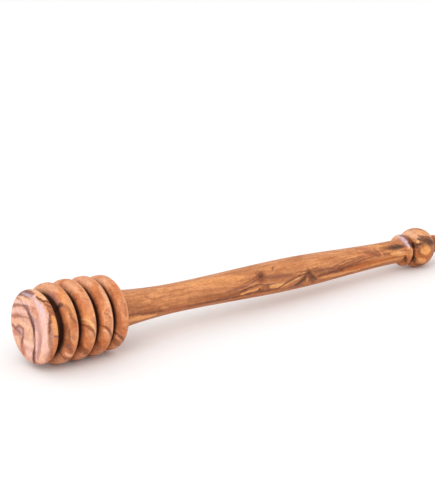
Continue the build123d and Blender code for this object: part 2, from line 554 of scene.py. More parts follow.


# Marks of the wood, placed one by one. Each has its tone, the two numbers of the place where it
# starts and of the place where it ends, how far it bends to the left of its way, how far it
# spreads to either side, and its strength. Lengths are in millimetres. Later marks lie over
# earlier ones.
# On the face, a place is how far towards the camera's side, and how far up.
FACE_MARKS = (
    # Broad bands
    ("peach", -7.5, 8.8, 0.5, 8.4, 0.3, 1.3, 0.6),
    ("blush", -8.5, 6.6, 1, 7.9, 0.2, 1.5, 0.6),
    # These pale pink and lilac bands along the face's rounded edge, on the camera's side, are
    # partly the wood's streak and partly painted highlight.
    ("blush", 5.6, 8.6, 9.2, 1, 0.9, 2.6, 0.85),
    ("blush", 9.2, 3, 7.6, -6.5, 0.8, 2.4, 0.85),
    ("lilac", 3, 10.2, 8.2, 6.8, 0.6, 1.3, 0.65),
    ("peach", 8.2, -4.5, 5, -10.4, 0.6, 2.2, 0.6),
    ("peach", -0.8, 0.4, 0.6, -3.6, 0.4, 2.2, 0.7),
    # A painted highlight low in the face, toned down by the blush laid over it.
    ("pale", -3, -5.6, 2.2, -5, 0, 1.5, 0.85),
    ("blush", -2.6, -6.2, 1.8, -5.8, 0, 1.8, 0.5),
    ("blush", -1.6, -8.6, 1.4, -8.4, 0, 2, 0.6),
    ("peach", -8.6, -5.8, -6, -7.6, 0, 1.7, 0.6),
    ("blush", -11, 2.9, -2, 4.6, 0.2, 1.1, 0.6),
    ("peach", -10.5, -0.4, -3, 0.6, 0, 1.2, 0.6),
    ("blush", 3.6, 3.6, 4, -6.5, 0.4, 1.1, 0.6),
    # Mauve bands and the red-brown patches
    ("mauve", 1.8, 4.6, 4.4, 0.5, 0.4, 1.5, 0.6),
    ("mauve", 4, 4.4, 6, -0.5, 0.5, 1.4, 0.75),
    ("mauve", 6.1, 0.5, 4.9, -9.4, 0.5, 1.5, 0.8),
    ("umber", 6.9, -0.3, 6.2, -4.6, 0.2, 0.55, 0.35),
    ("umber", 5.5, -4.8, 4.9, -9, 0, 0.5, 0.25),
    ("red", 0.6, 7.3, 4.6, 5.4, 0.4, 2.2, 0.5),
    ("brown", 1.2, 6.6, 3.2, 7.6, 0.3, 0.6, 0.3),
    ("brown", 0.6, 5.2, 2.2, 6.2, 0.2, 0.4, 0.3),
    ("brown", -9.2, 7.9, -4.2, 7.4, 0.4, 0.65, 0.5),
    # Main vein
    ("brown", -12.4, 3.5, -3.2, 6.7, 0.3, 1, 0.7),
    ("umber", -4, 6.6, 0.4, 3.7, 0.9, 1.6, 0.85),
    ("umber", -0.8, 4.6, 2.4, 1.4, 0.35, 1.8, 0.9),
    ("dark", 0.5, 3.4, 2.9, -2, 0.5, 1.15, 0.95),
    ("dark", 1.6, 2.2, 2.9, -1.4, 0.3, 0.8, 0.9),
    ("umber", 2.9, -1.4, 3.1, -6.6, 0.1, 1.1, 0.7),
    ("umber", 3, -6, 2.2, -12.2, 0.2, 1.5, 0.95),
    ("dark", 2.9, -6.6, 2.4, -10.6, 0.15, 0.9, 0.75),
    ("umber", 2.4, -10.6, 5.4, -10.9, 0, 0.7, 0.5),
    # Left side
    ("brown", -10.8, 1.1, -5.2, 2.5, 0.1, 1.2, 0.65),
    ("red", -10, 1, -7.5, 1.7, 0, 1, 0.6),
    ("brown", -5.6, 2.3, -0.4, 3.1, 0.1, 0.65, 0.45),
    ("brown", -0.8, 3, 1.4, 2.4, 0.2, 0.5, 0.3),
    ("mauve", -8.6, -2.8, -4.6, -2.8, 0, 2.2, 0.9),
    ("brown", -10.6, -1.9, -5.2, -3.8, 0.2, 1.1, 0.75),
    ("brown", -7.8, -2, -3.8, -1.4, 0.5, 1, 0.7),
    ("brown", -3.7, -1.2, -3.9, -5, 0.1, 1.1, 0.7),
    ("brown", -4, -4.6, -4.6, -7.8, 0, 1.2, 0.75),
    ("brown", -6.5, -4.2, -4.6, -6.6, 0.2, 0.6, 0.35),
    ("red", -9.6, -3.9, -7, -4.6, 0, 1.2, 0.7),
    ("red", -4.8, -7.2, -3, -10.2, 0.1, 1.6, 0.75),
    ("brown", -4.6, -8, -3.6, -10.4, 0.1, 0.7, 0.45),
    ("umber", -7.8, -8.6, -4.6, -10.9, 0, 0.9, 0.45),
    # Upper left edge
    ("umber", -8.8, 9.2, 0.8, 11.4, 0.6, 1.9, 0.85),
    ("brown", -8, 9.6, 0.4, 9.9, 0.2, 0.5, 0.45),
    ("dark", -6, 10.9, -0.5, 12, 0.3, 0.5, 0.45),
    ("dark", -3, 10.2, 0.2, 10.6, 0.2, 0.4, 0.4),
    # Partly a lilac streak of the wood and partly painted highlight on the edge's rounding.
    ("lilac", -5, 10.4, 2.8, 10.8, 0.3, 0.7, 0.45),
    # Where the face turns into its rim
    ("amber", 0.8, 12.4, 11.2, 5.8, 1.7, 1.2, 0.8),
    ("brown", 10.7, 5.2, 11.3, -5.5, 0.6, 1.2, 0.65),
    ("brown", 11, -4.5, 8.4, -9, 0.5, 0.7, 0.5),
    ("dark", 2.8, 11.4, 10.2, 6.8, 1.2, 0.5, 0.95),
    ("dark", 9.4, 8, 11.4, 1.4, 0.5, 0.5, 0.7),
)
# On the rims and the handle, a place is a station and an angle in degrees.
# On each disc the brown and rust marks from about 110 degrees downwards are partly the wood's
# colour and partly painted shade of the underside.
HEAD_MARKS = (
    # Front disc
    ("peach", 1.6, -6, 1.9, 26, 0, 2.4, 0.9),
    ("amber", 2.2, 4, 2.4, 24, 0, 1.3, 0.5),
    ("brown", 2.2, 40, 2.4, 58, 0, 1.6, 0.55),
    ("umber", 1, 46, 2, 56, 0, 0.8, 0.4),
    ("dark", 0, 22, 1.2, 32, 0.3, 0.7, 0.85),
    ("dark", 0.8, 29, 3.6, 37, -0.3, 0.9, 0.85),
    ("umber", 1.6, 36, 2.6, 43, 0.3, 0.8, 0.7),
    # Painted highlight on the front disc's orange band.
    ("pale", 1.2, 70, 2.4, 78, 0, 0.8, 0.5),
    ("umber", 0.4, 50, 1.6, 86, -0.6, 0.8, 0.7),
    ("amber", 1.9, 58, 2.3, 84, 0, 1.8, 0.9),
    ("umber", 0.6, 88, 3.6, 90, -0.3, 0.8, 0.7),
    ("rust", 2, 94, 2.4, 130, 0, 1.8, 0.4),
    ("brown", 0.6, 96, 2, 126, 0.4, 1, 0.6),
    # Second disc
    ("peach", 7, -16, 7.4, 20, 0, 1.9, 0.5),
    ("red", 6.6, 18, 7.3, 29, 0, 1.1, 0.45),
    ("amber", 8.2, 26, 8.4, 62, 0, 1.9, 0.6),
    ("mauve", 6, 0, 6.3, 46, 0, 0.8, 0.45),
    ("rust", 8.6, 62, 8.4, 92, 0, 2, 0.45),
    ("brown", 6.4, 42, 8.2, 64, -0.4, 1.1, 0.55),
    ("brown", 7.6, 60, 10.2, 74, 0.3, 0.9, 0.65),
    ("dark", 6.2, 38, 6.6, 44, 0, 0.7, 0.8),
    ("brown", 6.6, 72, 6.9, 98, 0.2, 0.8, 0.6),
    ("dark", 6.9, 82, 7.1, 94, 0.1, 0.35, 0.5),
    ("brown", 6.8, 98, 8.4, 118, 0.3, 2, 0.65),
    ("umber", 6.9, 103, 8.2, 113, 0.5, 0.8, 0.7),
    ("peach", 6.8, 121, 9.6, 128, 0, 0.9, 0.7),
    ("brown", 6.4, 130, 9.6, 135, 0, 1, 0.8),
    ("brown", 7, 92, 8.8, 98, 0, 0.7, 0.4),
    # Third disc
    ("peach", 13.8, -4, 14.4, 30, 0, 1.6, 0.5),
    # Painted shade where the groove meets this disc's front edge.
    ("umber", 12.9, 4, 12.9, 92, 0, 0.45, 0.6),
    ("red", 13.6, 32, 14.5, 52, 0.2, 0.5, 0.65),
    ("amber", 13.8, 66, 15.6, 84, 0, 1.5, 0.55),
    ("straw", 13.2, 70, 16.4, 92, -0.7, 0.8, 0.8),
    ("brown", 13.2, 80, 16.4, 97, -0.6, 0.9, 0.8),
    ("rust", 14, 99, 15.4, 117, 0, 1.8, 0.55),
    ("brown", 13.2, 118, 15.8, 130, 0, 1.8, 0.8),
    ("brown", 13.2, 110, 13.3, 130, 0, 0.7, 0.6),
    # Fourth disc
    ("peach", 20.6, -4, 21, 20, 0, 1.4, 0.5),
    # Painted shade where the groove meets this disc's front edge.
    ("umber", 19.8, 0, 19.8, 88, 0, 0.45, 0.6),
    ("rust", 21, 20, 21.2, 58, 0, 0.9, 0.35),
    ("peach", 22.8, 26, 22.9, 60, 0, 0.9, 0.55),
    ("brown", 20.8, 68, 23.5, 79, -0.2, 0.4, 0.6),
    ("peach", 20.5, 94, 23.4, 107, -0.6, 0.7, 0.65),
    ("brown", 19.8, 86, 23.6, 111, -0.9, 0.9, 0.9),
    ("rust", 20.8, 111, 22.4, 129, 0, 2, 0.75),
    ("brown", 20.2, 116, 20.6, 134, 0, 0.7, 0.6),
    # Back disc
    ("peach", 27.2, 0, 27.6, 26, 0, 1.1, 0.4),
    ("rust", 28.6, 28, 28.8, 62, 0, 1.6, 0.35),
    ("rust", 29.6, 60, 29.4, 80, 0, 0.9, 0.5),
    ("brown", 27, 30, 27.2, 100, 0, 0.8, 0.4),
    ("brown", 27.4, 95, 30, 103, 0.3, 0.5, 0.4),
    ("red", 27.4, 104, 29.6, 113, 0, 1.2, 0.9),
    ("dark", 26.6, 108, 29.8, 124, -0.4, 0.9, 0.75),
    ("brown", 27, 122, 29, 134, 0, 1.8, 0.7),
    # Rear edges: a pale line along each, painted highlight
    ("pale", 9.9, 0, 9.9, 95, 0, 0.5, 0.3),
    ("pale", 16.6, 0, 16.6, 75, 0, 0.5, 0.35),
    ("pale", 23.5, 15, 23.5, 100, 0, 0.5, 0.4),
    ("pale", 30.2, 30, 30.2, 90, 0, 0.4, 0.25),
)
HANDLE_MARKS = (
    # Neck
    ("brown", 34, 66, 48, 88, 0, 2.2, 0.25),
    ("brown", 34, 88, 60, 112, 0.2, 1.6, 0.45),
    ("brown", 34.2, 90, 62, 119, 0.2, 0.75, 0.85),
    ("brown", 58, 114, 84, 115, 0.3, 1.1, 0.85),
    ("dark", 66, 117, 82, 117, 0.1, 0.5, 0.45),
    ("amber", 34.6, 108, 47, 122, 0, 1.2, 0.9),
    ("rust", 41, 79, 45, 82, 0, 0.9, 0.45),
    ("red", 50, 108, 60, 114, 0, 1.1, 0.5),
    ("amber", 48.6, 95, 51.6, 99, 0, 0.7, 0.35),
    ("brown", 36, 68, 44, 74, 0.5, 0.45, 0.45),
    ("brown", 37.5, 62, 39, 84, 0.3, 0.35, 0.35),
    ("brown", 43, 38, 47, 58, 0.5, 0.6, 0.35),
    ("brown", 60.6, 50, 60.8, 112, 0, 0.4, 0.25),
    ("amber", 62, 20, 84, 44, 0, 2.2, 0.5),
    # Grip, up to the first knot
    ("brown", 60, 88, 86, 100, 0, 1.8, 0.35),
    ("brown", 88, 60, 106, 76, 0.2, 1.8, 0.45),
    ("umber", 92, 62, 104, 70, 0.2, 1, 0.4),
    ("umber", 76, 88, 90.4, 64, 0.4, 0.5, 0.75),
    ("brown", 79, 80, 89.8, 50, 0.5, 0.45, 0.6),
    ("brown", 73, 110, 86, 92, 0.2, 0.8, 0.65),
    ("amber", 82.5, 107, 90.5, 99, 0.2, 1, 0.85),
    ("dark", 81, 99, 91, 83, -0.3, 0.5, 0.8),
    ("umber", 90, 84, 104, 95, 0.4, 0.5, 0.75),
    ("brown", 90.8, 98, 94.6, 101, 0, 1.3, 0.5),
    ("amber", 94.8, 102, 102.5, 102, 0.1, 1.4, 0.95),
    ("straw", 95.2, 99, 104, 98, 0.1, 0.5, 0.6),
    ("straw", 101, 102, 107.6, 88, -0.3, 0.85, 0.9),
    ("straw", 105.5, 94, 111.6, 71, -0.2, 0.55, 0.9),
    ("brown", 84, 113, 99, 118, 0, 1, 0.95),
    ("dark", 84, 112, 92, 108, -0.1, 0.5, 0.5),
    ("brown", 98, 118, 110.8, 79, -0.9, 0.7, 0.95),
    ("dark", 90, 98, 90.4, 109, 0, 0.7, 0.8),
    ("brown", 93.6, 96, 94.6, 112, 0, 0.8, 0.65),
    ("brown", 96.8, 43, 97.8, 30, 0, 0.7, 0.75),
    # Below and behind the second knot
    ("umber", 103, 122, 110, 122, 0, 1.4, 0.5),
    ("brown", 110.8, 86, 112, 108, 0, 2.6, 0.6),
    ("slate", 110.6, 86, 106.4, 116, -0.3, 1.5, 0.8),
    ("dark", 110.4, 90, 107.2, 110, -0.2, 0.9, 0.75),
    ("amber", 110.9, 94, 111.6, 116, 0, 0.7, 0.6),
    ("slate", 111.6, 77, 115.4, 112, 0.3, 1.6, 0.85),
    ("dark", 111.6, 77, 114.8, 104, 0.2, 0.9, 0.8),
    ("brown", 113, 108, 115, 128, 0, 1.1, 0.75),
    ("brown", 106, 66, 116, 66, 0.5, 0.5, 0.6),
    ("brown", 113, 66, 127, 78, 0.3, 0.4, 0.65),
    ("brown", 114, 76, 131, 96, -0.3, 0.45, 0.65),
    ("slate", 113.6, 78, 119, 90, -0.2, 1.2, 0.45),
    ("umber", 117, 80, 127, 90, 0.1, 0.9, 0.4),
    ("brown", 116, 99, 141, 92, -0.2, 1.3, 0.95),
    ("dark", 121, 97, 137, 95, -0.1, 0.7, 0.7),
    ("brown", 124, 88, 138, 72, 0.2, 1.4, 0.55),
    ("brown", 122, 80, 138, 56, -0.5, 0.45, 0.6),
    ("brown", 124, 88, 142, 60, -0.6, 0.5, 0.7),
    ("brown", 128, 92, 146, 66, -0.5, 0.5, 0.65),
    ("rust", 128, 103, 152, 97, 0, 1.6, 0.95),
    ("amber", 118, 112, 136, 118, 0, 1, 0.75),
    ("amber", 136, 112, 157, 108, 0, 0.9, 0.5),
    ("rust", 132, 20, 134.5, 46, 0.5, 0.5, 0.4),
    ("rust", 135.6, 18, 138, 50, 0.5, 0.5, 0.5),
    ("red", 137, 10, 142, 34, 0, 1.5, 0.6),
    ("red", 137, 54, 142.5, 62, 0, 1.2, 0.55),
    ("brown", 139, 42, 145, 72, -0.7, 1.8, 0.65),
    ("brown", 143.6, 34, 145.8, 72, -0.4, 0.8, 0.75),
    ("red", 144.8, 62, 147.2, 52, 0.1, 0.8, 0.4),
    ("brown", 146, 38, 147.8, 72, -0.4, 0.5, 0.6),
    ("amber", 142.6, 6, 150, 32, 0, 1.6, 0.65),
    ("brown", 147, 68, 153, 78, 0, 0.9, 0.45),
    ("amber", 151, 74, 157.6, 90, 0, 1.5, 0.8),
    ("peach", 154, 74, 157.6, 80, 0, 0.8, 0.5),
    ("brown", 147, 34, 157.6, 44, 0.3, 1.4, 0.5),
    ("brown", 148.6, 42, 157.4, 46, 0, 2.4, 0.6),
    ("slate", 151, 46, 156.6, 50, 0, 2, 0.9),
    ("dark", 151.8, 42, 155, 46, 0.1, 0.9, 0.45),
    # Bead
    ("straw", 158.2, -70, 158.2, -14, 0, 1.1, 0.6),
    ("lilac", 158.3, -10, 158.4, 64, 0, 0.9, 0.7),
    ("umber", 159.3, -16, 159.7, 60, 0.1, 1.2, 0.85),
    ("blush", 158, -26, 158, -4, 0, 0.8, 0.5),
    ("brown", 159.6, 10, 159.8, 46, 0, 1, 0.55),
    ("dark", 159.3, 47, 160.6, 66, 0, 1.5, 0.9),
    ("amber", 159.2, 72, 159.4, 96, 0, 1.1, 0.6),
    ("pale", 159.9, 74, 160, 94, 0, 0.8, 0.6),
    ("red", 158.6, 99, 159, 108, 0, 0.9, 0.6),
    # Painted shadow on the bead's front face, under the wrist.
    ("dark", 157.6, 104, 157.9, 128, 0, 0.9, 0.85),
    ("brown", 159.8, 98, 160.2, 130, 0, 1, 0.7),
    # Ball and button
    ("peach", 161.9, -25, 163, 30, 0, 2, 0.75),
    ("peach", 164.2, 6, 166, 34, 0, 1.7, 0.7),
    ("amber", 164.4, 12, 169.6, 36, 0.2, 1.2, 0.7),
    ("brown", 163.8, 30, 169.6, 48, 0.3, 0.5, 0.75),
    ("brown", 162.4, 62, 167.6, 70, 0, 1.2, 0.65),
    ("slate", 163.4, 42, 170.4, 66, 0.3, 1.9, 0.95),
    ("dark", 164.6, 48, 169.8, 64, 0.2, 1, 0.6),
    ("dark", 161.4, 58, 163.6, 60, 0, 0.9, 0.85),
    ("brown", 162.2, 68, 163.6, 98, 0.2, 1.4, 0.75),
    # Painted shade in the cove in front of the ball.
    ("dark", 161, 42, 161.9, 68, 0, 1.3, 0.95),
    ("straw", 162.7, 47, 162.8, 53, 0, 0.9, 0.85),
    ("lilac", 163.2, 37, 164, 41, 0, 0.4, 0.2),
    ("amber", 163.8, 83, 166.6, 83, 0, 2.3, 0.95),
    ("rust", 161.8, 98, 168.4, 104, 0.3, 1.3, 0.9),
    ("amber", 162.8, 112, 165.6, 120, 0, 1.4, 0.8),
    # Painted shade in the cove in front of the ball.
    ("dark", 161, 106, 162.2, 134, 0, 0.9, 0.85),
    ("dark", 162.6, 140, 168, 140, 0, 1, 0.7),
    ("dark", 167.6, -6, 171.6, 42, 0.2, 0.8, 0.7),
    ("brown", 167.6, 76, 171, 108, 0, 1.8, 0.5),
    ("red", 170.8, 40, 171.4, 110, 0, 1.4, 0.5),
    ("brown", 174, 20, 174, 120, 0, 2, 0.5),
)
# Knots of the handle: station, angle and size. The last two are on the hidden side.
HANDLE_KNOTS = ((91.3, 55, 1.5), (111.6, 79, 1.1), (73.0, -128, 1.3), (128.0, -80, 0.7))
# How far a knot pushes the grain aside, as a share of its size
KNOT_PUSH = 1.1
# Which way the fibres run. The head's grain slants across its seen side.
HEAD_GRAIN = (0.85, -0.27, -0.45)
HANDLE_GRAIN = (1.0, 0.0, 0.0)
# Degrees of the wrap chart become millimetres at the girth of each piece.
HEAD_GIRTH = 2 * pi * 13.2 / 360
HANDLE_GIRTH = 2 * pi * 5.4 / 360

# The share of a mark's width where it has its full strength
MARK_CORE = 0.25
# How much shorter the fibres' noise is counted along the grain, which draws it out
FIBRE_PULL = 0.3
# The strength of streaks, flecks, glints, fibres and pores
HEAD_WEAR = (0.22, 0.2, 0.14, 0.2, 0.25)
HANDLE_WEAR = (0.22, 0.3, 0.14, 0.25, 0.35)
# Stations between which the face's figure gives way to the rim's
FACE_TURN = (0.8, 1.7)
# Radii between which painted shade darkens a disc's side into the groove
GROOVE_SHADE_RADII = (11.5, 9.9)
# The parts of a knot from the outside in, each with its strength and tone
KNOT_TONES = (
    ("Halo", 0.3, "brown"), ("Rings", 0.5, "brown"), ("Body", 0.85, "brown"), ("Eye", 0.7, "dark"),
)
# The angle from the middle of the seen side at which the hidden side's veins are full
HIDDEN_FROM = 120.0
HIDDEN_VEINS = 0.9
RELIEF_STRENGTH = 0.4
RELIEF_HEIGHT = 0.07 * MM


def paint_marks(b, wood, chart, marks, under, girth=1.0):
    """Paints the marks in order over the colour under them, and returns the colour."""
    for tone, from_x, from_y, to_x, to_y, bend, width, strength in marks:
        start = Vector((from_x, from_y * girth, 0.0))
        span = Vector((to_x, to_y * girth, 0.0)) - start
        along = span.normalized()
        mask = shared_group(
            b, "Wood mark", Chart=chart, From=start, Along=along,
            Across=(-along.y, along.x, 0.0), Reach=span.length, Bend=bend, Width=width,
            Core=MARK_CORE, Strength=strength)["Mask"]
        under = b.tint(under, getattr(wood, tone), mask)
    return under


def begin_wood(name):
    """A new material, its bench, its shader and the place on the dipper in millimetres."""
    material = bpy.data.materials.new(name)
    material.use_nodes = True
    tree = material.node_tree
    tree.nodes.clear()
    b = Bench(tree)
    end = b.node("ShaderNodeOutputMaterial")
    shader = b.node("ShaderNodeBsdfPrincipled", {
        "Specular IOR Level": 0.2, "Coat Weight": 0.06, "Coat Roughness": 0.3,
    })
    tree.links.new(shader.outputs[0], end.inputs["Surface"])
    spot = b.node("ShaderNodeTexCoord").outputs["Object"]
    place = b.node("ShaderNodeMapping", {
        "Vector": spot, "Location": face_centre, "Rotation": (0.0, tilt, 0.0),
        "Scale": (MM, MM, MM),
    }, vector_type="TEXTURE").outputs[0]
    return material, b, shader, place


def add_veins(b, wood, base, line, angle, middle, start, seen_veins):
    """The figure's own dark veins. On the seen side they are faint, because it has the marks."""
    off = b.math("ABSOLUTE", b.minus(angle, middle))
    hidden = b.ramp(off, start, HIDDEN_FROM)
    strength = b.ramp(hidden, 0.0, 1.0, seen_veins, HIDDEN_VEINS, smooth=False)
    return b.tint(base, wood.brown, line, strength)


def weather(b, wood, painted, fibres, dark_tone, light_tone, wear):
    """Lays streaks, flecks, glints, fibres and pores over the painted wood."""
    streak, fleck, glint, fibre, pore = wear
    painted = b.tint(painted, dark_tone, fibres["Streak"], streak)
    painted = b.tint(painted, dark_tone, fibres["Fleck"], fleck)
    painted = b.tint(painted, light_tone, fibres["Glint"], glint)
    painted = b.tint(painted, dark_tone, b.ramp(fibres["Fibre"], 0.5, 0.75, 0.0, fibre))
    return b.tint(painted, wood.brown, fibres["Pore"], pore)


def finish_wood(b, shader, painted, at, fibres, rough_extra):
    """Links the colour, and the roughness and relief that both woods share."""
    rough = b.ramp(fibres["Cloud"], 0.3, 0.7, 0.38, 0.54)
    rough = b.plus(rough, b.times(fibres["Fibre"], 0.08))
    rough = b.plus(rough, rough_extra)
    rings = shared_group(b, "Turning marks", Station=at["Station"], Radius=at["Radius"])["Rings"]
    height = b.times(fibres["Fibre"], 0.5)
    for relief, share_of in ((fibres["Streak"], 0.4), (rings, 0.35), (fibres["Pore"], -0.5)):
        height = b.plus(height, b.times(relief, share_of))
    bump = b.node("ShaderNodeBump", {
        "Strength": RELIEF_STRENGTH, "Distance": RELIEF_HEIGHT, "Height": height})
    for name, socket in (
            ("Base Color", painted), ("Roughness", rough), ("Normal", bump.outputs[0])):
        b.tree.links.new(socket, shader.inputs[name])


def head_wood(wood):
    """Pinkish orange olive wood with purple-brown veins, cut across the grain on the face."""
    material, b, shader, place = begin_wood("olive_wood_head")
    at = shared_group(b, "Dipper place", Place=place, Girth=HEAD_GIRTH)
    fibres = shared_group(b, "Olive fibres", Place=place, Grain=HEAD_GRAIN, Pull=FIBRE_PULL)
    figure = shared_group(
        b, "Olive figure", Place=place, Pith=(0.0, 1.5, -3.0), Stretch=(0.35, 1.0, 1.0),
        Wander=7.0, Seed=3.1)

    base = b.mix(figure["Band"], opaque(wood.head_warm), opaque(wood.head_light))
    base = b.tint(base, wood.head_brown, b.ramp(fibres["Cloud"], 0.42, 0.7), 0.4)
    base = b.tint(base, wood.head_brown, b.ramp(figure["Layer"], 0.42, 0.66, 0.0, 0.45))
    # Painted shade: the discs' undersides, from about 98 degrees off the top, are browner.
    underside_shade = b.ramp(b.math("ABSOLUTE", at["Angle"]), 98.0, 140.0, 0.0, 0.5)
    base = b.tint(base, wood.head_brown, underside_shade)
    base = add_veins(b, wood, base, figure["Line"], at["Angle"], 40.0, 85.0, 0.15)

    face_chart = shared_group(
        b, "Grain waver", Chart=at["Face chart"], Coarse=1.0, Fine=0.8)["Chart"]
    wrap_chart = shared_group(
        b, "Grain waver", Chart=at["Wrap chart"], Coarse=0.9, Fine=1.0)["Chart"]
    rim = paint_marks(b, wood, wrap_chart, HEAD_MARKS, base, HEAD_GIRTH)
    face = paint_marks(b, wood, face_chart, FACE_MARKS, b.tint(base, wood.blush, 0.45))
    painted = b.mix(b.ramp(at["Station"], *FACE_TURN, 1.0, 0.0), rim, face)
    painted = weather(b, wood, painted, fibres, wood.head_brown, wood.head_light, HEAD_WEAR)

    # Painted shade darkens the grooves between the discs, and more faintly the head's back face.
    # Painted shade: a dark mask over the grooves, fading up each disc's side.
    groove_shade = b.times(b.ramp(at["Radius"], *GROOVE_SHADE_RADII), b.ramp(at["Station"], 2.2, 3.4))
    groove_shade = b.times(groove_shade, b.ramp(at["Station"], 31.0, 31.2, 1.0, 0.35))
    painted = b.tint(painted, wood.groove, groove_shade, 0.95)
    finish_wood(b, shader, painted, at, fibres, b.times(groove_shade, 0.3))
    return material


def handle_wood(wood):
    """Browner olive wood of the handle, with fine fibres, knots and an amber stripe."""
    material, b, shader, place = begin_wood("olive_wood_handle")
    at = shared_group(b, "Dipper place", Place=place, Girth=HANDLE_GIRTH)
    fibres = shared_group(b, "Olive fibres", Place=place, Grain=HANDLE_GRAIN, Pull=FIBRE_PULL)
    figure = shared_group(
        b, "Olive figure", Place=place, Pith=(0.0, 3.5, -9.0), Stretch=(0.12, 1.0, 1.0),
        Wander=5.0, Seed=8.4)

    base = b.mix(figure["Band"], opaque(wood.handle_warm), opaque(wood.handle_light))
    # Painted light: the top of the seen side is lighter. Turned down, the seen side is browner,
    # partly the wood's own colour and partly painted shade.
    lit_top_offset = b.math("ABSOLUTE", b.minus(at["Angle"], 25.0))
    base = b.tint(base, wood.handle_light, b.ramp(lit_top_offset, 45.0, 15.0, 0.0, 0.45))
    base = b.tint(base, wood.handle_brown, b.ramp(at["Angle"], 50.0, 100.0, 0.0, 0.45))
    base = b.tint(base, wood.handle_brown, b.ramp(fibres["Cloud"], 0.45, 0.72), 0.45)
    base = b.tint(base, wood.handle_brown, b.ramp(figure["Layer"], 0.42, 0.66, 0.0, 0.35))
    base = add_veins(b, wood, base, figure["Line"], at["Angle"], 45.0, 80.0, 0.2)

    wrap_chart = shared_group(
        b, "Grain waver", Chart=at["Wrap chart"], Coarse=0.7, Fine=0.5)["Chart"]
    knots = [((station, angle * HANDLE_GIRTH, 0.0), size)
             for station, angle, size in HANDLE_KNOTS]
    # Fine lines of the grain part round the knots.
    parted = wrap_chart
    for centre, size in knots:
        parted = shared_group(
            b, "Grain round a knot", Chart=parted, Centre=centre, Push=size * KNOT_PUSH)["Chart"]
    lines = b.noise(b.vector("MULTIPLY", parted, (0.05, 1.0, 1.0)), 1.5, 3.0, 0.6)[0]
    base = b.tint(base, wood.handle_brown, b.ramp(lines, 0.5, 0.62, 0.0, 0.45))
    painted = paint_marks(b, wood, wrap_chart, HANDLE_MARKS, base, HANDLE_GIRTH)
    for centre, size in knots:
        knot = shared_group(b, "Wood knot", Chart=wrap_chart, Centre=centre, Size=size)
        for part, strength, tone in KNOT_TONES:
            painted = b.tint(painted, getattr(wood, tone), knot[part], strength)
    painted = weather(b, wood, painted, fibres, wood.handle_brown, wood.handle_light, HANDLE_WEAR)

    # Painted shade darkens the cove.
    cove_shade = b.times(b.ramp(at["Station"], 160.1, 160.8),
                      b.ramp(at["Station"], 161.6, 162.2, 1.0, 0.0))
    cove_shade = b.times(cove_shade, b.ramp(at["Radius"], 5.4, 4.4))
    painted = b.tint(painted, wood.groove, cove_shade, 0.4)
    finish_wood(b, shader, painted, at, fibres, b.times(cove_shade, 0.2))
    return material


# Operators

class DIPPER_OT_head(bpy.types.Operator):
    """Turn the grooved head and finish it in olive wood"""

    bl_idname = "dipper.head"
    bl_label = "Turn Head"
    bl_options = {"REGISTER", "UNDO"}

    def execute(self, context):
        sizes = context.scene.dipper.head
        core = sizes.core / 2
        bore = sizes.bore / 2
        thicknesses = [sizes.front_disc] + [sizes.disc] * len(GROOVE_SHARES)
        grooves = [sizes.groove * part for part in GROOVE_SHARES]
        points, roundings, middles = [(0.0, 0.0)], [], []
        station = 0.0
        for n, (thickness, part) in enumerate(zip(thicknesses, DISC_SHARES)):
            radius = sizes.diameter / 2 * part
            edge = sizes.disc_edge * thickness
            points += [(station, radius), (station + thickness, radius)]
            roundings += [sizes.face_edge if n == 0 else edge, edge]
            middles.append(station + thickness / 2)
            station += thickness
            if n < len(grooves):
                root = sizes.groove_root * grooves[n]
                points += [(station, core), (station + grooves[n], core)]
                roundings += [root, root]
                station += grooves[n]
        head_length = station
        points += [(head_length, bore), (head_length - sizes.bore_depth, bore),
                   (head_length - sizes.bore_depth, 0.0)]

        bm = bmesh.new()
        verts = draw_wire(bm, points)
        for corner, radius in zip(verts[1:], roundings):
            round_corner(bm, corner, radius)
        split_long_edges(bm, HEAD_EDGE)
        spin_solid(bm, HEAD_STEPS)

        for vert in bm.verts:
            out = hypot(vert.co.y, vert.co.z)
            if out < bore * BORE_MARGIN:
                continue
            rim = min(1.0, max(0.0, (out - core) / (sizes.diameter / 2 - core)))
            nearest = min(range(len(middles)), key=lambda n: abs(vert.co.x - middles[n]))
            lean, towards = DISC_LEANS[nearest]
            if END_MARGIN < vert.co.x < head_length - END_MARGIN:
                vert.co.x -= lean * cos(angle_of(vert.co) - radians(towards)) * rim
            push_in(vert, sizes.unevenness * rim * lumps(vert.co, *HEAD_LUMPS))

        material = head_wood(context.scene.dipper.wood)
        finish_piece(bm, "head_turning", "dipper_head", material)
        return {"FINISHED"}


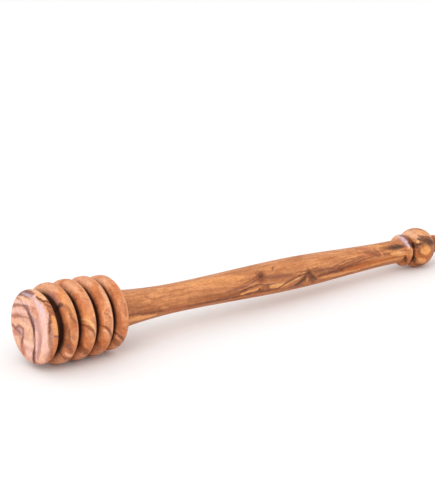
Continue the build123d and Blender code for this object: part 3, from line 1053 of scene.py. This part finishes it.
class DIPPER_OT_handle(bpy.types.Operator):
    """Turn the handle with its bead, ball and button, and finish it in olive wood"""

    bl_idname = "dipper.handle"
    bl_label = "Turn Handle"
    bl_options = {"REGISTER", "UNDO"}

    def execute(self, context):
        settings = context.scene.dipper
        sizes, head = settings.handle, settings.head
        head_length = (head.front_disc + head.disc * len(GROOVE_SHARES)
                       + head.groove * sum(GROOVE_SHARES))
        tenon_end = head_length - sizes.tenon_length
        neck, waist = sizes.neck / 2, sizes.waist / 2
        swell, wrist = sizes.swell / 2, sizes.wrist / 2
        waist_station = head_length + NECK_LENGTH
        swell_station = waist_station + SWELL_RISE
        wrist_station = swell_station + SWELL_FALL
        bead_front = wrist_station + WRIST_LENGTH
        bead_back = bead_front + BEAD_THICKNESS
        ball_centre = bead_back - BALL_SINK + sizes.ball_length / 2
        button_centre = (ball_centre + sizes.ball_length / 2 - BUTTON_SINK
                         + sizes.button_length / 2)

        def curve(start, first, second, end, steps):
            line = interpolate_bezier(
                *((station, radius, 0.0) for station, radius in (start, first, second, end)),
                steps)
            return [(point.x, point.y) for point in line[1:]]

        # The neck is a quadratic curve, with its one control point level with the waist.
        bow = (head_length + NECK_LENGTH / 2, waist)
        neck_end, waist_end = (head_length, neck), (waist_station, waist)
        third = 1 / 3
        points = [
            (tenon_end, 0.0), (tenon_end, sizes.tenon / 2 - TENON_CHAMFER),
            (tenon_end + TENON_CHAMFER, sizes.tenon / 2), (head_length, sizes.tenon / 2),
            neck_end,
        ]
        points += curve(
            neck_end,
            tuple(a + (c - a) * 2 * third for a, c in zip(neck_end, bow)),
            tuple(a + (c - a) * 2 * third for a, c in zip(waist_end, bow)),
            waist_end, NECK_STEPS)
        points += curve(
            waist_end, (waist_station + SWELL_RISE * third, waist),
            (swell_station - SWELL_RISE * third, swell), (swell_station, swell), RISE_STEPS)
        points += curve(
            (swell_station, swell), (swell_station + SWELL_FALL * third, swell),
            (wrist_station - SWELL_FALL * third, wrist), (wrist_station, wrist), FALL_STEPS)
        crown = BEAD_THICKNESS / 2
        shoulder = sizes.bead / 2 - crown
        points += [(bead_front, wrist), (bead_front, shoulder)]
        points += bow_of(bead_front + crown, crown, crown, 0.0, pi, BEAD_STEPS, shoulder)[1:]

        stem = sizes.cove / 2
        ball_half, button_half = sizes.ball_length / 2, sizes.button_length / 2
        cove_end = bead_back + COVE_WIDTH
        points += [(bead_back, stem), (cove_end, stem)]
        # The button leaves the ball where their two outlines cross.
        low, high = button_centre - button_half, button_centre
        for _ in range(CROSSING_STEPS):
            meet = (low + high) / 2
            on_ball = sizes.ball ** 2 * (1 - ((ball_centre - meet) / ball_half) ** 2)
            on_button = sizes.button ** 2 * (1 - ((button_centre - meet) / button_half) ** 2)
            low, high = (meet, high) if on_ball > on_button else (low, meet)
        points += bow_of(
            ball_centre, ball_half, sizes.ball / 2, acos((ball_centre - cove_end) / ball_half),
            acos((ball_centre - meet) / ball_half), BALL_STEPS)
        points += bow_of(
            button_centre, button_half, sizes.button / 2,
            acos((button_centre - meet) / button_half), pi, BUTTON_STEPS)[1:-1]
        points.append((button_centre + button_half, 0.0))

        bm = bmesh.new()
        draw_wire(bm, points)
        split_long_edges(bm, HANDLE_EDGE)
        spin_solid(bm, HANDLE_STEPS)

        for vert in bm.verts:
            if vert.co.x < head_length + SANDED_FROM:
                continue
            push_in(vert, sizes.unevenness * lumps(vert.co, *HANDLE_LUMPS))
            for station, angle, size in HANDLE_KNOTS:
                turn = (angle_of(vert.co) - radians(angle) + pi) % (2 * pi) - pi
                off = hypot(vert.co.x - station * MM, turn * swell) / (size * MM)
                if off < 1:
                    push_in(vert, sizes.knot_pit * (1 - off * off) ** 2)

        material = handle_wood(settings.wood)
        finish_piece(bm, "handle_turning", "handle", material)
        return {"FINISHED"}


# The long lens and the sensor's width are in millimetres.
CAMERA_LENS = 181.82
CAMERA_SENSOR = 36.0
CAMERA_NEAR = 10.0 * MM
CAMERA_RISE = radians(19.21)
CAMERA_TURN = radians(52.94)
# Where the camera stands from the middle of the front face, along its right, up and sight lines.
CAMERA_BACK = 807.7 * MM
CAMERA_RIGHT = 60.72 * MM
CAMERA_UP = 25.98 * MM

LIGHT_AIM = Vector((-0.03, 0.0, 0.01))
KEY_PLACE, KEY_WIDTH = Vector((-0.75, -0.45, 0.75)), 0.7
FILL_PLACE, FILL_WIDTH = Vector((0.55, -0.85, 0.45)), 0.8
PAPER_ROUGHNESS = 0.8
WHITE = (1.0, 1.0, 1.0)


def area_light(name, place, width, power):
    data = bpy.data.lights.new(name, "AREA")
    data.shape = "SQUARE"
    data.size = width
    data.energy = power
    light = bpy.data.objects.new(name, data)
    bpy.context.scene.collection.objects.link(light)
    light.location = place
    light.rotation_euler = (LIGHT_AIM - place).to_track_quat("-Z", "Y").to_euler()


class DIPPER_OT_stage(bpy.types.Operator):
    """Set the pale table, the soft lights and the camera"""

    bl_idname = "dipper.stage"
    bl_label = "Set Stage"
    bl_options = {"REGISTER", "UNDO"}

    def execute(self, context):
        settings = context.scene.dipper.stage
        scene = context.scene

        bm = bmesh.new()
        bmesh.ops.create_grid(bm, x_segments=1, y_segments=1, size=settings.table_size / 2)
        mesh = bpy.data.meshes.new("table")
        bm.to_mesh(mesh)
        bm.free()
        table = bpy.data.objects.new("table", mesh)
        scene.collection.objects.link(table)
        material = bpy.data.materials.new("table_paper")
        material.use_nodes = True
        paper = material.node_tree.nodes["Principled BSDF"]
        paper.inputs["Base Color"].default_value = opaque(settings.table)
        paper.inputs["Roughness"].default_value = PAPER_ROUGHNESS
        mesh.materials.append(material)

        world = bpy.data.worlds.new("white_room")
        world.use_nodes = True
        room = world.node_tree.nodes["Background"]
        room.inputs["Color"].default_value = opaque(WHITE)
        room.inputs["Strength"].default_value = settings.room
        scene.world = world

        area_light("key_light", KEY_PLACE, KEY_WIDTH, settings.key)
        area_light("fill_light", FILL_PLACE, FILL_WIDTH, settings.fill)

        sight = Vector((cos(CAMERA_RISE) * cos(CAMERA_TURN),
                        cos(CAMERA_RISE) * sin(CAMERA_TURN), -sin(CAMERA_RISE)))
        data = bpy.data.cameras.new("camera")
        data.sensor_width = CAMERA_SENSOR
        data.lens = CAMERA_LENS
        data.clip_start = CAMERA_NEAR
        camera = bpy.data.objects.new("camera", data)
        scene.collection.objects.link(camera)
        turn = sight.to_track_quat("-Z", "Y")
        right, up = turn @ Vector((1, 0, 0)), turn @ Vector((0, 1, 0))
        camera.location = face_centre + right * CAMERA_RIGHT + up * CAMERA_UP - sight * CAMERA_BACK
        camera.rotation_euler = turn.to_euler()
        scene.camera = camera
        scene.view_settings.view_transform = "Standard"
        return {"FINISHED"}


class DIPPER_PT_panel(bpy.types.Panel):
    """Lists the dipper's operators and settings"""

    bl_idname = "DIPPER_PT_panel"
    bl_label = "Honey Dipper"
    bl_space_type = "VIEW_3D"
    bl_region_type = "UI"
    bl_category = "Dipper"

    def draw(self, context):
        settings = context.scene.dipper
        for group, operator in (
                (settings.head, "dipper.head"), (settings.handle, "dipper.handle"),
                (settings.stage, "dipper.stage")):
            box = self.layout.box()
            for name in group.__annotations__:
                box.prop(group, name)
            box.operator(operator)
        box = self.layout.box()
        for name in settings.wood.__annotations__:
            box.prop(settings.wood, name)


classes = (
    DIPPER_PG_head, DIPPER_PG_handle, DIPPER_PG_wood, DIPPER_PG_stage, DIPPER_PG_settings,
    DIPPER_OT_head, DIPPER_OT_handle, DIPPER_OT_stage, DIPPER_PT_panel,
)


def register():
    for cls in classes:
        bpy.utils.register_class(cls)
    bpy.types.Scene.dipper = group_of(
        DIPPER_PG_settings, "Dipper", "Settings of the honey dipper")


def unregister():
    del bpy.types.Scene.dipper
    for cls in reversed(classes):
        bpy.utils.unregister_class(cls)


def main():
    register()
    bpy.ops.dipper.stage()
    bpy.ops.dipper.head()
    bpy.ops.dipper.handle()


if __name__ == "__main__":
    main()
